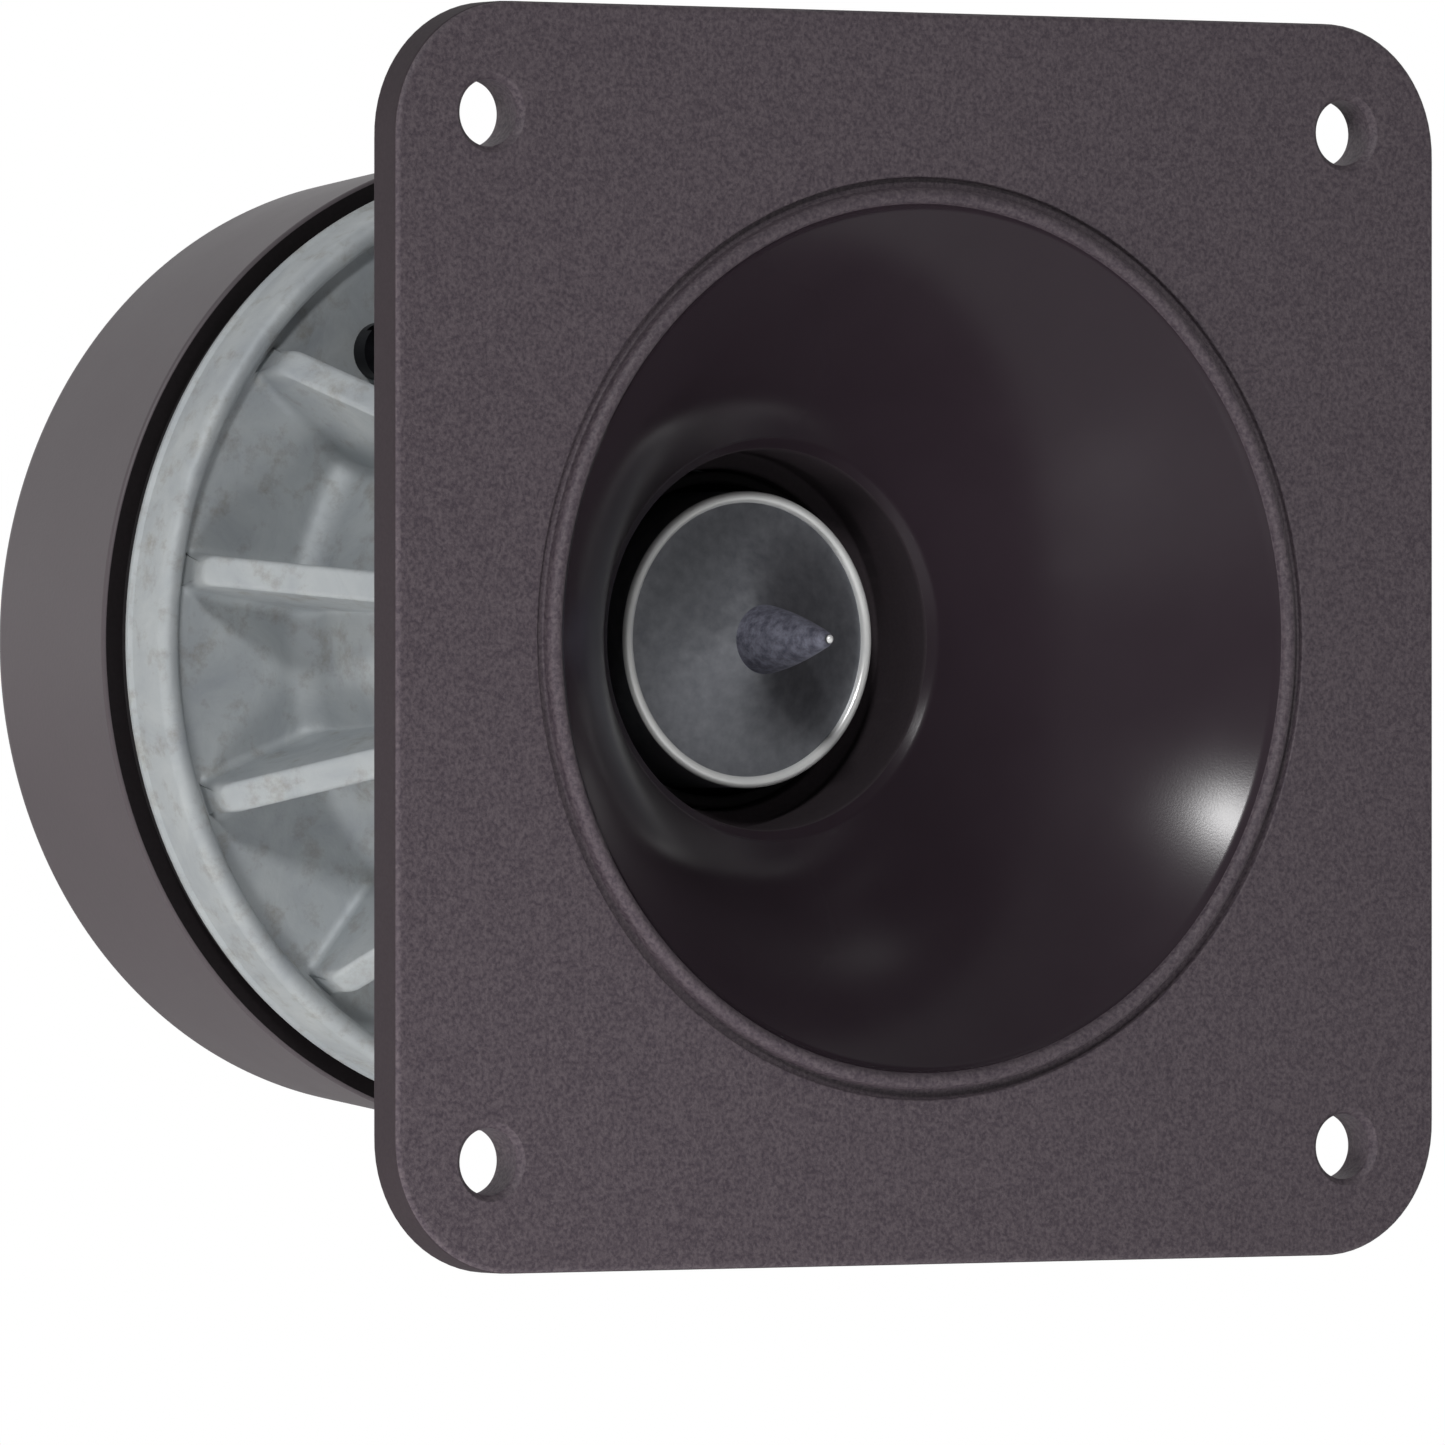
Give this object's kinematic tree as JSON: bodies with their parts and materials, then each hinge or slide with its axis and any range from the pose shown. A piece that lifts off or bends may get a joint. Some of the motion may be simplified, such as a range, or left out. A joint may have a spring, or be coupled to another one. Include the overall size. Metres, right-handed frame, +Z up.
{
  "type": "horn tweeter",
  "caption": "Square-flanged horn tweeter: flared horn with a spiked phase plug, ribbed cast housing, ring magnet motor with a round cover and side terminals.",
  "frame": {"origin": "on the horn axis, in the plane of the flange's rear face, at the centre of its four fixing holes", "axes": "+Z up; the horn faces -Y, +Y runs back to the magnet cover; +X is to the right seen from the front"},
  "size_m": [0.085, 0.0689, 0.085],
  "materials": {
    "horn_abs": "moulded, textured flange and smooth satin flare",
    "gasket_rubber": "matt die-cut sheet",
    "black_steel": "black oxide",
    "cast_aluminium": "as die cast",
    "turned_aluminium": "bright turned",
    "polished_aluminium": "polished",
    "zinc_steel": "zinc plated",
    "spacer_brass": "turned",
    "surround_cloth": "resin-treated cloth",
    "diaphragm_phenolic": "pressed phenolic",
    "former_film": "polyimide film",
    "coil_copper": "enamelled copper",
    "ferrite": "sintered ferrite, ground faces",
    "cover_rubber": "moulded, satin",
    "terminal_nylon": "moulded nylon",
    "terminal_brass": "stamped",
    "terminal_tin": "tinned brass"
  },
  "bodies": {
    "tweeter": {"horn": "horn_abs", "horn_gasket": "gasket_rubber", "horn_screws": "black_steel", "front_housing": "cast_aluminium", "throat_tube": "turned_aluminium", "phase_plug": "polished_aluminium", "centre_screw": "zinc_steel", "centre_spacer": "spacer_brass", "clamp_ring": "turned_aluminium", "outer_surround": "surround_cloth", "inner_surround": "surround_cloth", "motor_gasket": "gasket_rubber", "top_plate": "zinc_steel", "magnet": "ferrite", "back_plate": "zinc_steel", "pole_piece": "zinc_steel", "magnet_cover": "cover_rubber", "assembly_screws": "black_steel", "terminal_block": "terminal_nylon", "terminal_positive": "terminal_brass", "terminal_negative": "terminal_tin", "terminal_screw": "black_steel", "lead_positive": "coil_copper", "lead_negative": "coil_copper"},
    "moving_assembly": {"diaphragm": "diaphragm_phenolic", "coil_former": "former_film", "voice_coil": "coil_copper"}
  },
  "joints": [
    {"name": "diaphragm_travel", "type": "slide", "parent": "tweeter", "child": "moving_assembly", "axis": [0, -1, 0], "range_m": [-0.00025, 0.00025], "stiffness_N_per_m": 60, "deforming": ["outer_surround", "inner_surround"]}
  ]
}
